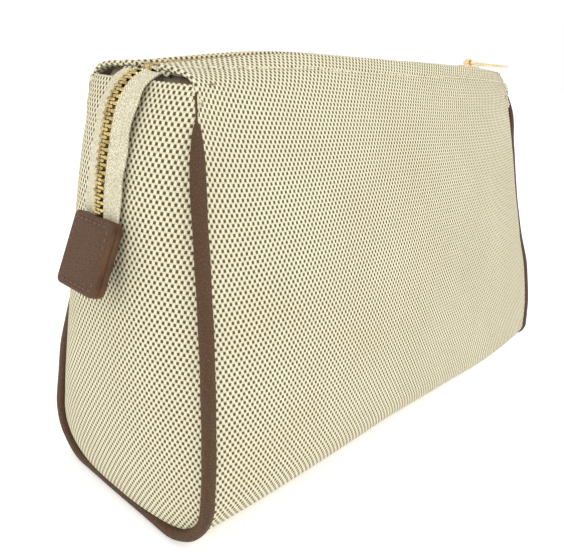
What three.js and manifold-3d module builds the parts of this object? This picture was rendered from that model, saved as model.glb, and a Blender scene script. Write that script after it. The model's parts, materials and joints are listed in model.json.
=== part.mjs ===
// Shaving kit bag: a canvas zip case lying on its base, in millimetres.
// +X runs along the bag from the zip's tab end to its slider end, -Y is the front, +Z is up.
import * as THREE from "three";
import Module from "manifold-3d";

// ---------- driving dimensions ----------
const X_LEFT = [-135, -127]; // left end seam at the base and at the shoulder
const X_RIGHT = [135, 130]; // right end seam at the base and at the shoulder
const SHOULDER_Z = [149.8, 146]; // shoulder height at the left and right ends
const END_LIFT = 1.3; // the base rises this much at the ends, where the piping is the foot
const CANVAS_T = 1.6;
const LINING_T = 0.8;
const GAP = 0.3; // clearance between neighbouring pieces
const PIPING_R = 2.2;
const PIPING_INSET = 1.0; // piping centre, in from the panel's outer face
const PIPING_TOP_Z = 139;
const HEM_Y = 6.5; // half the opening between the two roof hems
const TAPE_T = 0.6;
const TOOTH_PITCH = 2.3;
const TOOTH_LENGTH = 1.0;
const TOOTH_HEIGHT = 2.4;
const TEETH_DROP = 1.5; // chain centre, below the roof's top line
const SLIDER_X = 88; // slider centre when the bag is shut
const SLIDER_LENGTH = 11;
const SLIDER_HALF_WIDTH = 4.7;
const PULL_LENGTH = 34;
const PULL_HALF_WIDTH = 3.4;
const PULL_T = 1.4;
const PULL_YAW = -10 * Math.PI / 180; // the pull lies slightly towards the front
const PULL_DROP = 1 * Math.PI / 180; // and its tip hangs a little low
const TAB_WIDTH = 21;
const TAB_HEIGHT = 24;
const TAB_TILT = 19.5 * Math.PI / 180;
const TAB_TOP = [-144.8, 111.2]; // x and z of the middle of the tab's upper outer edge

// Half depth of the bag against height: left seam, middle and right seam.
const HALF_LEFT = [[0, 46.5], [20, 45.5], [42, 43.2], [70, 39.3], [95, 34.8], [123, 29.3], [149.8, 25.3]];
const HALF_RIGHT = [[0, 47.5], [26.5, 44.6], [69, 33.5], [93, 26.1], [116, 20], [138.6, 13.1], [146, 9.2]];
// Radius where the base turns up into the panels, against station (0 left seam, 1 right seam).
const CORNER = [[0, 22], [0.17, 23], [0.35, 21.5], [0.5, 18], [0.65, 13.5], [0.76, 10.5], [0.87, 8.5], [1, 8]];
const MIDDLE_HALF = 50.5;
const MIDDLE_TOP = 171;
const MIDDLE_POWER = 2.3;
const BACK_LEFT_PROUD = 3.8; // the back's top left corner is this much further out than the front's
const ROOF_PITCH = [3, 50]; // roof's slope at its hem, in degrees, at the left end and further along
// Height of the zip line against x.
const TOP_LINE = [[-135, 155], [-127, 155.6], [-81, 160], [-54, 161.2], [18, 160.8], [88, 160.3], [128, 158.4], [136, 158]];
// How far each gusset bulges past its seams, against height.
const BULGE_LEFT = [[0, 0.8], [5, 2.4], [12, 4.2], [22, 6], [40, 7.8], [95, 9.6], [125, 8.4], [140, 6.2], [152, 2.5]];
const BULGE_RIGHT = [[0, 0.6], [10, 2], [40, 4.5], [95, 5], [125, 4], [152, 1.5]];
// Outer line of the zip tail's teeth, as x and z, from the roof's left hem to the tab.
const TAIL_LINE = [
  [-127.8, 154.7], [-131.9, 152.4], [-134.7, 149.9], [-136.5, 147.3], [-138.3, 143.9],
  [-139.5, 140], [-141.1, 132], [-142.4, 124], [-143.2, 117], [-143.4, 112],
];

const CANVAS = { color: 0xe6dcbc, roughness: 0.92, metalness: 0 };
const LINING = { color: 0x4a3d2d, roughness: 0.85, metalness: 0 };
const LEATHER = { color: 0x6d4d38, roughness: 0.6, metalness: 0 };
const TAPE = { color: 0xebe4ce, roughness: 0.9, metalness: 0 };
const BRASS = { color: 0xbe9646, roughness: 0.32, metalness: 1 };
const PALE_GOLD = { color: 0xf0cf96, roughness: 0.25, metalness: 1 };

const wasm = await Module();
wasm.setup();
const group = new THREE.Group();

// ---------- small helpers ----------
const lerp = (a, b, t) => a + (b - a) * t;
const clamp01 = (t) => Math.min(1, Math.max(0, t));
const smooth = (a, b, t) => {
  const s = clamp01((t - a) / (b - a));
  return s * s * (3 - 2 * s);
};

// A smooth curve through a table of [input, output] rows (cubic Hermite).
function table(rows) {
  const slope = rows.map((row, i) => {
    const a = rows[Math.max(0, i - 1)];
    const b = rows[Math.min(rows.length - 1, i + 1)];
    return (b[1] - a[1]) / (b[0] - a[0]);
  });
  return (x) => {
    let i = 0;
    while (i < rows.length - 2 && x > rows[i + 1][0]) i += 1;
    const span = rows[i + 1][0] - rows[i][0];
    const t = clamp01((x - rows[i][0]) / span);
    const t2 = t * t;
    const t3 = t2 * t;
    return (2 * t3 - 3 * t2 + 1) * rows[i][1] + (t3 - 2 * t2 + t) * span * slope[i]
      + (3 * t2 - 2 * t3) * rows[i + 1][1] + (t3 - t2) * span * slope[i + 1];
  };
}

// Moves the top of the back's left corner out, which is not quite square with the front's.
function standProud(geometry) {
  const position = geometry.getAttribute("position");
  for (let i = 0; i < position.count; i += 1) {
    const [x, y, z] = [position.getX(i), position.getY(i), position.getZ(i)];
    const share = smooth(11, 25, y) * smooth(85, 150, z) * (1 - smooth(-130, -40, x));
    position.setY(i, y + BACK_LEFT_PROUD * share);
  }
  return geometry;
}

function addMesh(name, geometry, look) {
  const mesh = new THREE.Mesh(standProud(geometry), new THREE.MeshStandardMaterial(look));
  mesh.name = name;
  group.add(mesh);
  return mesh;
}

// A closed body from points and triangles, turned so that its faces point out.
function closedGeometry(points, triangles) {
  let volume = 0;
  for (const [a, b, c] of triangles) {
    volume += points[a].dot(new THREE.Vector3().crossVectors(points[b], points[c]));
  }
  const geometry = new THREE.BufferGeometry().setFromPoints(points);
  geometry.setIndex(triangles.flatMap(([a, b, c]) => (volume > 0 ? [a, b, c] : [a, c, b])));
  geometry.computeVertexNormals();
  return geometry;
}

// A panel between two grids of points of the same size: both faces and the four edges.
function panelGeometry(outer, inner) {
  const rows = outer.length;
  const cols = outer[0].length;
  const points = [...outer.flat(), ...inner.flat()];
  const out = (i, j) => i * cols + j;
  const inn = (i, j) => rows * cols + i * cols + j;
  const triangles = [];
  const quad = (a, b, c, d) => triangles.push([a, b, c], [a, c, d]);
  for (let i = 0; i < rows - 1; i += 1) {
    for (let j = 0; j < cols - 1; j += 1) {
      quad(out(i, j), out(i + 1, j), out(i + 1, j + 1), out(i, j + 1));
      quad(inn(i, j), inn(i, j + 1), inn(i + 1, j + 1), inn(i + 1, j));
    }
    quad(out(i, 0), inn(i, 0), inn(i + 1, 0), out(i + 1, 0));
    quad(out(i, cols - 1), out(i + 1, cols - 1), inn(i + 1, cols - 1), inn(i, cols - 1));
  }
  for (let j = 0; j < cols - 1; j += 1) {
    quad(out(0, j), out(0, j + 1), inn(0, j + 1), inn(0, j));
    quad(out(rows - 1, j), inn(rows - 1, j), inn(rows - 1, j + 1), out(rows - 1, j + 1));
  }
  return closedGeometry(points, triangles);
}

// A solid through rings of points, closed by a fan at each end.
function loftGeometry(rings) {
  const n = rings[0].length;
  const points = rings.flat();
  const triangles = [];
  for (let i = 0; i < rings.length - 1; i += 1) {
    for (let j = 0; j < n; j += 1) {
      const k = (j + 1) % n;
      triangles.push([i * n + j, (i + 1) * n + j, (i + 1) * n + k], [i * n + j, (i + 1) * n + k, i * n + k]);
    }
  }
  const last = (rings.length - 1) * n;
  for (let j = 1; j < n - 1; j += 1) {
    triangles.push([0, j, j + 1], [last, last + j + 1, last + j]);
  }
  return closedGeometry(points, triangles);
}

function toManifold(geometry) {
  const source = geometry.index ? geometry.toNonIndexed() : geometry;
  const position = source.getAttribute("position");
  const keys = new Map();
  const vertices = [];
  const triVerts = [];
  for (let i = 0; i < position.count; i += 1) {
    const p = [position.getX(i), position.getY(i), position.getZ(i)];
    const key = p.map((x) => Math.round(x * 1e4)).join(",");
    if (!keys.has(key)) {
      keys.set(key, vertices.length / 3);
      vertices.push(...p);
    }
    triVerts.push(keys.get(key));
  }
  return new wasm.Manifold(new wasm.Mesh({
    numProp: 3,
    vertProperties: new Float32Array(vertices),
    triVerts: new Uint32Array(triVerts),
  }));
}

function fromManifold(solid) {
  const mesh = solid.getMesh();
  const geometry = new THREE.BufferGeometry();
  geometry.setAttribute("position", new THREE.BufferAttribute(new Float32Array(mesh.vertProperties), 3));
  geometry.setIndex(Array.from(mesh.triVerts));
  geometry.computeVertexNormals();
  return geometry;
}

function box(x0, x1, y0, y1, z0, z1) {
  const geometry = new THREE.BoxGeometry(x1 - x0, y1 - y0, z1 - z0);
  return geometry.translate((x0 + x1) / 2, (y0 + y1) / 2, (z0 + z1) / 2);
}

function union(geometries) {
  return fromManifold(geometries.map(toManifold).reduce((a, b) => a.add(b)));
}

// ---------- the bag's form ----------
const halfLeft = table(HALF_LEFT);
const halfRight = table(HALF_RIGHT);
const topLine = table(TOP_LINE);
const cornerTable = table(CORNER);
const cornerR = (u) => cornerTable(clamp01(u));
const leftX = (z) => lerp(X_LEFT[0], X_LEFT[1], z / SHOULDER_Z[0]);
const rightX = (z) => lerp(X_RIGHT[0], X_RIGHT[1], z / SHOULDER_Z[1]);
const shoulderZ = (u) => lerp(SHOULDER_Z[0], SHOULDER_Z[1], u);
const hemY = (x) => HEM_Y - 1.5 * smooth(100, 125, x);

// Half depth at station u (0 left seam, 1 right seam) and height z.
function halfDepth(u, z) {
  const x = lerp(leftX(z), rightX(z), u);
  const left = Math.exp(-(x - leftX(z)) / 45);
  const right = Math.exp(-(rightX(z) - x) / 70);
  const middle = MIDDLE_HALF * (1 - (Math.max(0, z) / MIDDLE_TOP) ** MIDDLE_POWER);
  return middle + left * (halfLeft(z) - middle) + right * (1 - left) * (halfRight(z) - middle);
}

const V_BASE = 0.2; // share of |v| that is flat base
const V_CORNER = 0.5; // share of |v| at which the corner ends

// Height and half depth of the wrap at station u; v runs -1 (front shoulder), 0 (base), 1 (back shoulder).
function wrapSection(u, v) {
  const a = Math.abs(v);
  const r = cornerR(u);
  if (a <= V_BASE) return { y: (halfDepth(u, 0) - r) * a / V_BASE, z: 0 };
  if (a <= V_CORNER) {
    const angle = (a - V_BASE) / (V_CORNER - V_BASE) * Math.PI / 2;
    const z = r * (1 - Math.cos(angle));
    return { y: halfDepth(u, z) - r * (1 - Math.sin(angle)), z };
  }
  const z = lerp(r, shoulderZ(u), (a - V_CORNER) / (1 - V_CORNER));
  return { y: halfDepth(u, z), z };
}

// The wrap's end edges stand back from the seams where the piping fills the join; the lining's stand back more.
const seamInset = (z) => lerp(2.7, 0.4, smooth(137, 142, z));

const LINING_INSET = 3.3;

// How much the base rises towards the seam at a distance from it.
const endLift = (fromSeam, z) => END_LIFT * Math.exp(-fromSeam / 12) * (1 - smooth(0, 22, z));

function wrapPoint(u, v) {
  const { y, z } = wrapSection(u, v);
  const x = lerp(leftX(z), rightX(z), u);
  const lift = endLift(x - leftX(z), z) + endLift(rightX(z) - x, z);
  return new THREE.Vector3(x, Math.sign(v) * y, z + lift);
}

// Keeps a station clear of both seams by inset(z).
const clearOfSeams = (inset) => (u, v) => {
  const { z } = wrapSection(u, v);
  const margin = inset(z) / (rightX(z) - leftX(z));
  return Math.min(1 - margin, Math.max(margin, u));
};

// The roof at station u; q runs 0 (shoulder) to 1 (hem beside the zip). side is -1 front, 1 back.
// It leaves the panel in line with it, and turns flat at the left end but stays steep further along.
function roofPoint(u, q, side, inset = 0.4) {
  const zs = shoulderZ(u) + 2 * GAP;
  const ys = halfDepth(u, zs);
  const x = lerp(leftX(zs) + inset, rightX(zs) - inset, u);
  const yh = hemY(x);
  const zh = topLine(x);
  const slope = (halfDepth(u, zs) - halfDepth(u, zs - 4)) / 4;
  const pitch = lerp(ROOF_PITCH[1], ROOF_PITCH[0], Math.exp(-(x - X_LEFT[1]) / 50)) * Math.PI / 180;
  const handle = 0.36 * Math.hypot(ys - yh, zh - zs);
  const long = Math.hypot(slope, 1);
  const y = [ys, ys + handle * slope / long, yh + handle * Math.cos(pitch), yh];
  const z = [zs, zs + handle / long, zh - handle * Math.sin(pitch), zh];
  const k = [(1 - q) ** 3, 3 * q * (1 - q) ** 2, 3 * q * q * (1 - q), q ** 3];
  const at = (c) => c.reduce((sum, value, i) => sum + k[i] * value, 0);
  return new THREE.Vector3(x, side * at(y), at(z));
}

// Grid of points off a surface(u, v) along the normal du x dv, which points into the bag on the wrap.
function offsetGrid(surface, us, vs, depth, station = (u) => u) {
  const e = 1e-4;
  return us.map((row) => vs.map((v) => {
    const u = station(row, v);
    const du = surface(u + e, v).sub(surface(u - e, v));
    const dv = surface(u, v + e).sub(surface(u, v - e));
    const normal = du.cross(dv).normalize();
    return surface(u, v).addScaledVector(normal, depth);
  }));
}

const steps = (n, a = 0, b = 1) => Array.from({ length: n + 1 }, (_, i) => lerp(a, b, i / n));

// ---------- wrap: front panel, base and back panel in one piece ----------
const STATIONS = [0, 0.04, 0.1, 0.18, 0.28, 0.4, 0.5, 0.6, 0.72, 0.82, 0.9, 0.96, 1];
const halfV = [...steps(1, 0, V_BASE), ...steps(4, V_BASE, V_CORNER).slice(1), ...steps(6, V_CORNER, 1).slice(1)];
const WRAP_V = [...halfV.slice(1).reverse().map((v) => -v), ...halfV];

for (const [name, look, inset, from, thickness] of [
  ["body_wrap", CANVAS, seamInset, 0, CANVAS_T],
  ["lining_wrap", LINING, () => LINING_INSET, CANVAS_T + GAP, LINING_T],
]) {
  addMesh(name, panelGeometry(
    offsetGrid(wrapPoint, STATIONS, WRAP_V, from, clearOfSeams(inset)),
    offsetGrid(wrapPoint, STATIONS, WRAP_V, from + thickness, clearOfSeams(inset)),
  ), look);
}

// ---------- gussets ----------
// Each end is a panel whose rows follow the wrap's section, set in from it all round.
function gussetGrid(end, depth, insetLow, insetHigh, top) {
  const seamX = end < 0 ? leftX : rightX;
  const bulge = table(end < 0 ? BULGE_LEFT : BULGE_RIGHT);
  const u = end < 0 ? 0 : 1;
  const rows = [];
  const corner = cornerR(u);
  const r = corner - insetLow;
  for (const angle of steps(4, 0, Math.PI / 2)) {
    const z = corner - r * Math.cos(angle);
    rows.push({ w: halfDepth(u, z) - corner + r * Math.sin(angle), z: z + endLift(0, z) });
  }
  for (const z of [46, 70, 95, 118, 132, 141, top - 5]) {
    rows.push({ w: halfDepth(u, Math.min(z, 146)) - lerp(insetLow, insetHigh, smooth(136, 142, z)), z });
  }
  rows.push({ w: rows[rows.length - 1].w - 1.2, z: top - 1.6 });
  rows.push({ w: rows[rows.length - 1].w - 2.0, z: top });
  return rows.map(({ w, z }) => steps(8, -1, 1).map((a) => {
    const out = bulge(z) * (1 - Math.abs(a) ** 2.6);
    return new THREE.Vector3(seamX(z) + end * out - end * depth, a * w, z);
  }));
}

for (const [name, end, top, topInset] of [["left", -1, 150.4, 2.3], ["right", 1, 153.5, 2.8]]) {
  addMesh(`gusset_${name}`, panelGeometry(
    gussetGrid(end, 0, 3.6, topInset, top),
    gussetGrid(end, CANVAS_T, 3.6, topInset, top),
  ), CANVAS);
  addMesh(`lining_gusset_${name}`, panelGeometry(
    gussetGrid(end, CANVAS_T + 0.4, 4.4, 3.6, top - 1),
    gussetGrid(end, CANVAS_T + 0.4 + LINING_T, 4.4, 3.6, top - 1),
  ), LINING);
}

// ---------- leather piping round each gusset, pointed at both tips ----------
function pipingGeometry(end) {
  const u = end < 0 ? 0 : 1;
  const seamX = end < 0 ? leftX : rightX;
  const r = cornerR(u);
  const tipV = V_CORNER + (PIPING_TOP_Z - r) / (shoulderZ(u) - r) * (1 - V_CORNER);
  const wall = [tipV, tipV - 0.012, tipV - 0.035, ...steps(5, tipV - 0.08, V_CORNER)];
  const half = [...wall, ...steps(6, V_CORNER, V_BASE).slice(1), 0];
  const vs = [...half.map((v) => -v), ...half.slice(0, -1).reverse()];
  const centre = (v) => {
    const e = 1e-3;
    const a = wrapSection(u, v - e);
    const b = wrapSection(u, v + e);
    const { y, z } = wrapSection(u, v);
    const ya = Math.sign(v - e) * a.y;
    const yb = Math.sign(v + e) * b.y;
    const tangent = new THREE.Vector3(0, yb - ya, b.z - a.z).normalize();
    const inward = new THREE.Vector3(0, -tangent.z, tangent.y);
    const point = new THREE.Vector3(seamX(z) + end * 0.2, Math.sign(v) * y, z + endLift(0, z));
    return { point: point.addScaledVector(inward, PIPING_INSET), inward };
  };
  const rings = vs.map((v) => {
    const { point, inward } = centre(v);
    const fromTip = (tipV - Math.abs(v)) / 0.08;
    const radius = PIPING_R * lerp(0.3, 1, Math.sqrt(clamp01(fromTip)));
    return Array.from({ length: 10 }, (_, k) => {
      const angle = (k + 0.5) / 10 * Math.PI * 2;
      return point.clone()
        .addScaledVector(inward, radius * Math.sin(angle))
        .add(new THREE.Vector3(radius * Math.cos(angle), 0, 0));
    });
  });
  return loftGeometry(rings);
}

addMesh("piping_left", pipingGeometry(-1), LEATHER);
addMesh("piping_right", pipingGeometry(1), LEATHER);

// ---------- zip teeth: one comb per side, mapped onto the zip's line ----------
// place(s, y, h) gives the point at distance s along the chain, y across it and h above its middle.
// Each cell is one tooth and the length of bead behind it, so the comb bends cleanly with its line.
function combGeometry(from, to, side, place) {
  const first = from + 0.6 + (side < 0 ? 0 : TOOTH_PITCH / 2);
  const count = Math.floor((to - 0.6 - TOOTH_LENGTH - first) / TOOTH_PITCH) + 1;
  const outline = [[from, 2.6], [from, 1.7]]; // bead's end, then five points for each tooth
  for (let k = 0; k < count; k += 1) {
    const s = first + k * TOOTH_PITCH;
    const e = s + TOOTH_LENGTH;
    outline.push([s, 2.6], [s, 1.7], [s + 0.05, -0.8], [e - 0.05, -0.8], [e, 1.7]);
  }
  outline.push([to, 2.6], [to, 1.7]);
  const n = outline.length;
  const points = [1, -1].flatMap((face) => (
    outline.map(([s, y]) => place(s, side * y, face * TOOTH_HEIGHT / 2))
  ));
  const triangles = [];
  const face = (...corners) => {
    for (let i = 1; i < corners.length - 1; i += 1) {
      triangles.push([corners[0], corners[i], corners[i + 1]]);
      triangles.push([n + corners[0], n + corners[i + 1], n + corners[i]]);
    }
  };
  const wall = (i, j) => triangles.push([i, n + i, n + j], [i, n + j, j]);
  face(0, 1, 3, 2);
  wall(0, 1);
  wall(1, 3);
  wall(2, 0);
  for (let k = 0; k < count; k += 1) {
    const [bead, a, b, c, d] = [0, 1, 2, 3, 4].map((i) => 2 + 5 * k + i);
    const nextBead = 2 + 5 * (k + 1);
    const nextA = nextBead + 1;
    face(a, b, c, d);
    face(bead, a, d, nextBead);
    face(nextBead, d, nextA);
    wall(a, b);
    wall(b, c);
    wall(c, d);
    wall(d, nextA);
    wall(nextBead, bead);
  }
  wall(n - 1, n - 2);
  return closedGeometry(points, triangles);
}

// Turns a triangle soup so that its faces point out.
function orient(geometry) {
  const position = geometry.getAttribute("position");
  const points = Array.from({ length: position.count }, (_, i) => (
    new THREE.Vector3().fromBufferAttribute(position, i)
  ));
  const triangles = Array.from({ length: position.count / 3 }, (_, i) => [3 * i, 3 * i + 1, 3 * i + 2]);
  return closedGeometry(points, triangles);
}

// ---------- roof halves, their lining, and the zip along the top ----------
const ROOF_Q = [0, 0.25, 0.5, 0.75, 1];
const LINING_Q = [0, 0.2, 0.4, 0.6, 0.75]; // the lining stops short, clear of the slider
const chainZ = (x) => topLine(x) - TEETH_DROP;
const CHAIN_FROM = -126.2;
const CHAIN_TO = 84;

for (const [name, side] of [["front", -1], ["back", 1]]) {
  const roof = (u, q) => roofPoint(u, clamp01(q), side);
  const inside = (u, q) => roofPoint(u, clamp01(q), side, 4);
  const inward = side; // the roof's du x dv points down at the back and up at the front
  addMesh(`roof_${name}`, panelGeometry(
    offsetGrid(roof, STATIONS, ROOF_Q, 0),
    offsetGrid(roof, STATIONS, ROOF_Q, inward * CANVAS_T),
  ), CANVAS);
  const liningDepth = CANVAS_T + 4 * GAP + TAPE_T;
  addMesh(`roof_lining_${name}`, panelGeometry(
    offsetGrid(inside, STATIONS, LINING_Q, inward * liningDepth),
    offsetGrid(inside, STATIONS, LINING_Q, inward * (liningDepth + LINING_T)),
  ), LINING);

  // Tape: runs from under the canvas to the chain.
  const tape = (depth) => {
    const under = offsetGrid(roof, STATIONS, [0.6, 0.8, 1], inward * (CANVAS_T + GAP + depth));
    return under.map((row) => {
      const x = row[row.length - 1].x;
      const chain = chainZ(x) + TAPE_T / 2 - depth;
      return [...row, new THREE.Vector3(x, side * 2.9, chain)];
    });
  };
  addMesh(`zip_tape_${name}`, panelGeometry(tape(0), tape(TAPE_T)), TAPE);
  addMesh(`zip_teeth_${name}`, combGeometry(CHAIN_FROM, CHAIN_TO, side, (s, y, h) => (
    new THREE.Vector3(s, y, chainZ(s) + h)
  )), BRASS);
  const stopZ = chainZ(97) + TAPE_T / 2 + GAP;
  addMesh(`top_stop_${name}`, box(95.5, 98.5, Math.min(side, side * 2.6), Math.max(side, side * 2.6),
    stopZ - 0.9, stopZ + 0.3), BRASS);
}

// ---------- zip tail: the chain and tape turn down over the left end ----------
const tailCurve = new THREE.CatmullRomCurve3(
  TAIL_LINE.map(([x, z]) => new THREE.Vector3(x, 0, z)), false, "centripetal",
);
const TAIL_CHAIN_LENGTH = tailCurve.getLength();
const tabDown = new THREE.Vector3(-Math.sin(TAB_TILT), 0, -Math.cos(TAB_TILT));
const tabOut = new THREE.Vector3(-Math.cos(TAB_TILT), 0, Math.sin(TAB_TILT));
const tabTop = new THREE.Vector3(TAB_TOP[0], 0, TAB_TOP[1]);
const TAPE_DEPTH_IN_TAB = 2.5;

// A point on the tail: s along the chain, y across, h outwards from the chain's middle.
function tailPlace(s, y, h) {
  const t = clamp01(s / TAIL_CHAIN_LENGTH);
  const tangent = tailCurve.getTangentAt(t);
  const outward = new THREE.Vector3(tangent.z, 0, -tangent.x);
  const point = tailCurve.getPointAt(t).addScaledVector(outward, h - TOOTH_HEIGHT / 2);
  return point.add(new THREE.Vector3(0, y, 0));
}

for (const [name, side] of [["front", -1], ["back", 1]]) {
  addMesh(`tail_teeth_${name}`, combGeometry(0, TAIL_CHAIN_LENGTH - 0.6, side, tailPlace), BRASS);
  const lengths = [0, 3, 6, 9, 12, 15, 19, 26, 34, 42, TAIL_CHAIN_LENGTH - 2];
  const across = [2.9, 6, 9.2];
  const face = (h) => {
    const grid = lengths.map((s) => {
      const narrow = lerp(1.12, 1, smooth(0, 20, s));
      return across.map((y) => {
        const droop = -0.16 * (y - 2.9) * smooth(2, 16, s) * (1 - smooth(30, TAIL_CHAIN_LENGTH, s));
        return tailPlace(s, side * (2.9 + (y - 2.9) * narrow), h + droop);
      });
    });
    for (const down of [1.5, 10]) {
      grid.push(across.map((y) => tabTop.clone().addScaledVector(tabDown, down)
        .addScaledVector(tabOut, h - TAPE_DEPTH_IN_TAB)
        .add(new THREE.Vector3(0, side * Math.min(y, 9), 0))));
    }
    return grid;
  };
  addMesh(`tail_tape_${name}`, panelGeometry(face(TAPE_T / 2), face(-TAPE_T / 2)), TAPE);
}

// ---------- leather tab: two layers with the tape's end between them ----------
function tabLayer(from, to) {
  const w = TAB_WIDTH / 2;
  const r = 2.5;
  const shape = new THREE.Shape();
  shape.moveTo(-w + r, 0);
  shape.lineTo(w - r, 0);
  shape.absarc(w - r, r, r, -Math.PI / 2, 0, false);
  shape.lineTo(w, TAB_HEIGHT - r);
  shape.absarc(w - r, TAB_HEIGHT - r, r, 0, Math.PI / 2, false);
  shape.lineTo(-w + r, TAB_HEIGHT);
  shape.absarc(-w + r, TAB_HEIGHT - r, r, Math.PI / 2, Math.PI, false);
  shape.lineTo(-w, r);
  shape.absarc(-w + r, r, r, Math.PI, Math.PI * 1.5, false);
  const bevel = 0.3;
  const geometry = new THREE.ExtrudeGeometry(shape, {
    depth: to - from - 2 * bevel, curveSegments: 4, bevelEnabled: true,
    bevelThickness: bevel, bevelSize: bevel, bevelOffset: -bevel, bevelSegments: 1,
  });
  return geometry.translate(0, 0, from + bevel);
}

// The tab's own frame: x across, y down the tab, z outwards from its outer face.
const tabFrame = new THREE.Matrix4()
  .makeBasis(new THREE.Vector3(0, 1, 0), tabDown, tabOut)
  .setPosition(tabTop);
const placeTab = (geometry) => orient(
  (geometry.index ? geometry.toNonIndexed() : geometry).applyMatrix4(tabFrame),
);

const TAB_OUTER_T = 1.75;
const TAB_T = 4.5;
const pocket = box(-9.6, 9.6, -1, 11, -TAPE_DEPTH_IN_TAB - 0.65, -TAB_OUTER_T);
addMesh("tab_outer", placeTab(tabLayer(-TAB_OUTER_T, 0)), LEATHER);
const innerLayer = toManifold(tabLayer(-TAB_T, -TAB_OUTER_T - 0.15)).subtract(toManifold(pocket));
addMesh("tab_inner", placeTab(fromManifold(innerLayer)), LEATHER);

// ---------- slider: two plates joined at the parting end, with a bridge on top ----------
const sliderZ = topLine(SLIDER_X);
const plate = (z0, z1) => {
  const half = SLIDER_LENGTH / 2;
  const w = SLIDER_HALF_WIDTH;
  const shape = new THREE.Shape([
    new THREE.Vector2(-half, -w + 1.3), new THREE.Vector2(-half + 1, -w + 0.6), new THREE.Vector2(half - 2, -w),
    new THREE.Vector2(half, -w + 1.6), new THREE.Vector2(half, w - 1.6), new THREE.Vector2(half - 2, w),
    new THREE.Vector2(-half + 1, w - 0.6), new THREE.Vector2(-half, w - 1.3),
  ]);
  return new THREE.ExtrudeGeometry(shape, { depth: z1 - z0, bevelEnabled: false })
    .translate(SLIDER_X, 0, sliderZ + z0);
};
const BRIDGE_HALF = 3.5;
const BRIDGE_TOP = 4.6;
const bridgeShape = new THREE.Shape([
  [-BRIDGE_HALF, 0.9], [-BRIDGE_HALF, 3.4], [-2.3, BRIDGE_TOP], [2.3, BRIDGE_TOP], [BRIDGE_HALF, 3.4],
  [BRIDGE_HALF, 0.9], [BRIDGE_HALF - 0.9, 0.9], [BRIDGE_HALF - 0.9, 3.0], [1.9, 3.7], [-1.9, 3.7],
  [-BRIDGE_HALF + 0.9, 3.0], [-BRIDGE_HALF + 0.9, 0.9],
].map(([x, y]) => new THREE.Vector2(x, y)));
const bridge = new THREE.ExtrudeGeometry(bridgeShape, { depth: 1.6, bevelEnabled: false })
  .translate(0, 0, -0.8)
  .rotateX(Math.PI / 2)
  .translate(SLIDER_X, 0, sliderZ);
addMesh("slider_body", union([
  plate(0, 1.1),
  plate(-4.1, -3.0),
  box(SLIDER_X + 3, SLIDER_X + 5, -1, 1, sliderZ - 3.5, sliderZ + 0.5),
  bridge,
]), PALE_GOLD);

// ---------- pull: a slotted bar whose end turns under the bridge ----------
const pullShape = new THREE.Shape();
const PW = PULL_HALF_WIDTH;
pullShape.moveTo(-0.7, -PW + 1.2);
pullShape.lineTo(0.5, -PW);
pullShape.lineTo(PULL_LENGTH - 1.2, -PW);
pullShape.lineTo(PULL_LENGTH, -PW + 1.2);
pullShape.lineTo(PULL_LENGTH, PW - 1.2);
pullShape.lineTo(PULL_LENGTH - 1.2, PW);
pullShape.lineTo(0.5, PW);
pullShape.lineTo(-0.7, PW - 1.2);
const slot = (x0, x1, w) => new THREE.Path([
  new THREE.Vector2(x0, -w + 0.4), new THREE.Vector2(x0, w - 0.4), new THREE.Vector2(x0 + 0.4, w),
  new THREE.Vector2(x1 - 0.4, w), new THREE.Vector2(x1, w - 0.4), new THREE.Vector2(x1, -w + 0.4),
  new THREE.Vector2(x1 - 0.4, -w), new THREE.Vector2(x0 + 0.4, -w),
]);
pullShape.holes.push(slot(0.7, 6.2, 2.0), slot(26.5, 31.5, 1.1));
const pull = new THREE.ExtrudeGeometry(pullShape, { depth: PULL_T, bevelEnabled: false })
  .translate(0, 0, -PULL_T / 2)
  .rotateY(PULL_DROP)
  .rotateZ(PULL_YAW)
  .translate(SLIDER_X, 0, sliderZ + 2.4);
addMesh("zip_pull", pull, PALE_GOLD);

export default group;
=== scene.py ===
import json
import math

import bpy
import numpy as np
from mathutils import Matrix, Vector


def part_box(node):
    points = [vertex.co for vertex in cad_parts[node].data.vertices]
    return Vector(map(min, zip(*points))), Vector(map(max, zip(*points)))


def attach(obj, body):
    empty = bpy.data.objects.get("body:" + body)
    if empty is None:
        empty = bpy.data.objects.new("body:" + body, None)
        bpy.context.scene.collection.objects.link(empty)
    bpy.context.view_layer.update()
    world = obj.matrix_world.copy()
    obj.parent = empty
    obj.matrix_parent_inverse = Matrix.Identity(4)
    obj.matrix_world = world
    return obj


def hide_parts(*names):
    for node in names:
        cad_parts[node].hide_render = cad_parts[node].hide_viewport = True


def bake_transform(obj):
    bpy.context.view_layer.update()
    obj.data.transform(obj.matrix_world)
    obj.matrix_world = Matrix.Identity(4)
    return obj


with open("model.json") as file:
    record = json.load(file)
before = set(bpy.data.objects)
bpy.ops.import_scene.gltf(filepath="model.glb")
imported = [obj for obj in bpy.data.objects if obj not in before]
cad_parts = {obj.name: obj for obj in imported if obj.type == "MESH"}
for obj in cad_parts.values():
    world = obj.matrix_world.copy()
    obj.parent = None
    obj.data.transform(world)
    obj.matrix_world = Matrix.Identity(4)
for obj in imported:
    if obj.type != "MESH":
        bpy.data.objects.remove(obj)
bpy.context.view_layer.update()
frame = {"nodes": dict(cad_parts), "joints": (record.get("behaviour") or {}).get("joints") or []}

MM = 0.001
scene = bpy.context.scene
scene.view_settings.view_transform = "Standard"

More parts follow.
